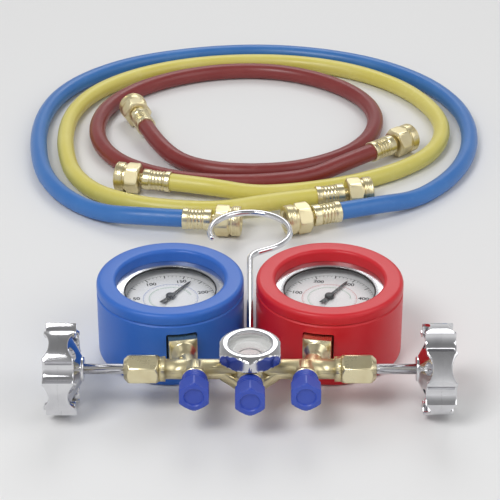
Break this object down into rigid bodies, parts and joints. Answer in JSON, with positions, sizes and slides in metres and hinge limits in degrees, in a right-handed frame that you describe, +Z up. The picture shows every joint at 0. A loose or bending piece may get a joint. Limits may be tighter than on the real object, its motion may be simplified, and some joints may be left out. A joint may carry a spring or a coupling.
{
  "type": "refrigerant manifold gauge",
  "caption": "Air-conditioning service manifold with booted pressure gauges, lobed handwheels, sight glass, capped flare ports, hanging hook and loose charging hoses.",
  "frame": {"origin": "centre of the manifold's footprint, without the hoses, on the surface it lies on", "axes": "+X along the bar to the high-side handwheel, +Y from the capped ports to the hanging hook, +Z up out of the dials"},
  "size_m": [0.2996, 0.49, 0.0485],
  "materials": {
    "cast_brass": "satin nickel-free machined casting, pale yellow",
    "turned_brass": "turned and lightly polished, pale yellow",
    "nut_brass": "turned and lightly polished",
    "movement_brass": "fine blanked and bright",
    "bronze": "drawn tube, satin",
    "chrome": "bright plated",
    "case_steel": "satin black enamel",
    "bezel_steel": "bright spun ring",
    "fine_steel": "bright",
    "dial_white": "matt white with printed scale",
    "pointer_black": "satin black",
    "clear_lens": "clear flat pane",
    "clear_glass": "clear thick pane",
    "indicator_paper": "matt pinkish grey",
    "white_ptfe": "smooth matt white",
    "black_rubber": "matt",
    "blue_rubber": "matt moulded, slight sheen",
    "red_rubber": "matt moulded, slight sheen",
    "blue_plastic": "smooth moulded, slight sheen",
    "red_hose_rubber": "semi-gloss jacket",
    "yellow_hose_rubber": "semi-gloss jacket",
    "blue_hose_rubber": "semi-gloss jacket"
  },
  "bodies": {
    "manifold": {"manifold_body": "cast_brass", "low_packing_nut": "turned_brass", "high_packing_nut": "turned_brass", "stem_packings": "white_ptfe", "port_fittings": "turned_brass", "sight_glass_nut": "chrome", "sight_glass_gasket": "black_rubber", "sight_glass_lens": "clear_glass", "sight_glass_indicator": "indicator_paper", "hook_bush": "turned_brass", "low_gauge_boot": "blue_rubber", "low_gauge_case": "case_steel", "low_gauge_bezel": "bezel_steel", "low_gauge_lens": "clear_lens", "low_gauge_dial": "dial_white", "low_gauge_socket": "turned_brass", "low_bourdon_tube": "bronze", "low_movement_frame": "movement_brass", "high_gauge_boot": "red_rubber", "high_gauge_case": "case_steel", "high_gauge_bezel": "bezel_steel", "high_gauge_lens": "clear_lens", "high_gauge_dial": "dial_white", "high_gauge_socket": "turned_brass", "high_bourdon_tube": "bronze", "high_movement_frame": "movement_brass"},
    "low_valve": {"low_valve_disc": "white_ptfe"},
    "low_wheel": {"low_valve_stem": "chrome", "low_handwheel": "chrome", "low_wheel_screw": "fine_steel"},
    "low_pointer": {"low_gauge_pointer": "pointer_black", "low_pointer_arbor": "fine_steel"},
    "low_sector": {"low_sector_gear": "movement_brass"},
    "high_valve": {"high_valve_disc": "white_ptfe"},
    "high_wheel": {"high_valve_stem": "chrome", "high_handwheel": "chrome", "high_wheel_screw": "fine_steel"},
    "high_pointer": {"high_gauge_pointer": "pointer_black", "high_pointer_arbor": "fine_steel"},
    "high_sector": {"high_sector_gear": "movement_brass"},
    "hook": {"hanging_hook": "chrome"},
    "low_cap": {"low_port_cap": "blue_plastic"},
    "centre_cap": {"centre_port_cap": "blue_plastic"},
    "high_cap": {"high_port_cap": "blue_plastic"},
    "red_first_nut": {"red_hose_first_nut": "nut_brass"},
    "red_last_nut": {"red_hose_last_nut": "nut_brass"},
    "red_hose": {"red_hose": "red_hose_rubber", "red_hose_first_end": "turned_brass", "red_hose_last_end": "turned_brass"},
    "yellow_first_nut": {"yellow_hose_first_nut": "nut_brass"},
    "yellow_last_nut": {"yellow_hose_last_nut": "nut_brass"},
    "yellow_hose": {"yellow_hose": "yellow_hose_rubber", "yellow_hose_first_end": "turned_brass", "yellow_hose_last_end": "turned_brass"},
    "blue_first_nut": {"blue_hose_first_nut": "nut_brass"},
    "blue_last_nut": {"blue_hose_last_nut": "nut_brass"},
    "blue_hose": {"blue_hose": "blue_hose_rubber", "blue_hose_first_end": "turned_brass", "blue_hose_last_end": "turned_brass"}
  },
  "joints": [
    {"name": "low_valve_slide", "type": "slide", "parent": "manifold", "child": "low_valve", "axis": [-1, 0, 0], "range_m": [0, 0.00314]},
    {"name": "low_wheel_turn", "type": "hinge", "parent": "low_valve", "child": "low_wheel", "pos_m": [-0.086, -0.07057, 0.0245], "axis": [-1, 0, 0], "range_deg": [0, 900]},
    {"name": "low_pointer_turn", "type": "hinge", "parent": "manifold", "child": "low_pointer", "pos_m": [-0.0433, -0.01057, 0.0193], "axis": [0, 0, 1], "range_deg": [-102, 168]},
    {"name": "low_sector_turn", "type": "hinge", "parent": "manifold", "child": "low_sector", "pos_m": [-0.0408, -0.02384, 0.0193], "axis": [0, 0, 1], "range_deg": [-21.1, 12.9]},
    {"name": "high_valve_slide", "type": "slide", "parent": "manifold", "child": "high_valve", "axis": [1, 0, 0], "range_m": [0, 0.00314]},
    {"name": "high_wheel_turn", "type": "hinge", "parent": "high_valve", "child": "high_wheel", "pos_m": [0.086, -0.07057, 0.0245], "axis": [1, 0, 0], "range_deg": [0, 900]},
    {"name": "high_pointer_turn", "type": "hinge", "parent": "manifold", "child": "high_pointer", "pos_m": [0.0433, -0.01057, 0.0193], "axis": [0, 0, 1], "range_deg": [-102, 168]},
    {"name": "high_sector_turn", "type": "hinge", "parent": "manifold", "child": "high_sector", "pos_m": [0.0408, -0.02384, 0.0193], "axis": [0, 0, 1], "range_deg": [-21.1, 12.9]},
    {"name": "hook_swivel", "type": "hinge", "parent": "manifold", "child": "hook", "pos_m": [0, -0.07057, 0.0245], "axis": [0, 1, 0], "continuous": true},
    {"name": "low_cap_unscrew", "type": "slide", "parent": "manifold", "child": "low_cap", "axis": [0, -1, 0], "range_m": [0, 0.03]},
    {"name": "centre_cap_unscrew", "type": "slide", "parent": "manifold", "child": "centre_cap", "axis": [0, -1, 0], "range_m": [0, 0.03]},
    {"name": "high_cap_unscrew", "type": "slide", "parent": "manifold", "child": "high_cap", "axis": [0, -1, 0], "range_m": [0, 0.03]},
    {"name": "red_first_nut_spin", "type": "hinge", "parent": "red_hose", "child": "red_first_nut", "pos_m": [-0.0695, 0.24743, 0.01], "axis": [-0.3162, 0.9487, 0], "continuous": true},
    {"name": "red_last_nut_spin", "type": "hinge", "parent": "red_hose", "child": "red_last_nut", "pos_m": [0.079, 0.20943, 0.01], "axis": [0.7682, 0.6402, 0], "continuous": true},
    {"name": "red_hose_lift", "type": "slide", "parent": "manifold", "child": "red_hose", "axis": [0, 0, 1], "range_m": [0, 0.1]},
    {"name": "yellow_first_nut_spin", "type": "hinge", "parent": "yellow_hose", "child": "yellow_first_nut", "pos_m": [-0.05, 0.16742, 0.01], "axis": [-0.9724, 0.2334, 0], "continuous": true},
    {"name": "yellow_last_nut_spin", "type": "hinge", "parent": "yellow_hose", "child": "yellow_last_nut", "pos_m": [0.041, 0.14743, 0.01], "axis": [0.9762, 0.2169, 0], "continuous": true},
    {"name": "yellow_hose_lift", "type": "slide", "parent": "manifold", "child": "yellow_hose", "axis": [0, 0, 1], "range_m": [0, 0.1]},
    {"name": "blue_first_nut_spin", "type": "hinge", "parent": "blue_hose", "child": "blue_first_nut", "pos_m": [0.055, 0.12843, 0.01], "axis": [-0.9409, -0.3387, 0], "continuous": true},
    {"name": "blue_last_nut_spin", "type": "hinge", "parent": "blue_hose", "child": "blue_last_nut", "pos_m": [-0.041, 0.11943, 0.01], "axis": [0.9939, -0.1104, 0], "continuous": true},
    {"name": "blue_hose_lift", "type": "slide", "parent": "manifold", "child": "blue_hose", "axis": [0, 0, 1], "range_m": [0, 0.1]}
  ],
  "couplings": [
    {"joint": "low_valve_slide", "follows": "low_wheel_turn", "m_per_rad": 0.00019894},
    {"joint": "low_sector_turn", "follows": "low_pointer_turn", "ratio": -0.125},
    {"joint": "high_valve_slide", "follows": "high_wheel_turn", "m_per_rad": 0.00019894},
    {"joint": "high_sector_turn", "follows": "high_pointer_turn", "ratio": -0.125}
  ]
}
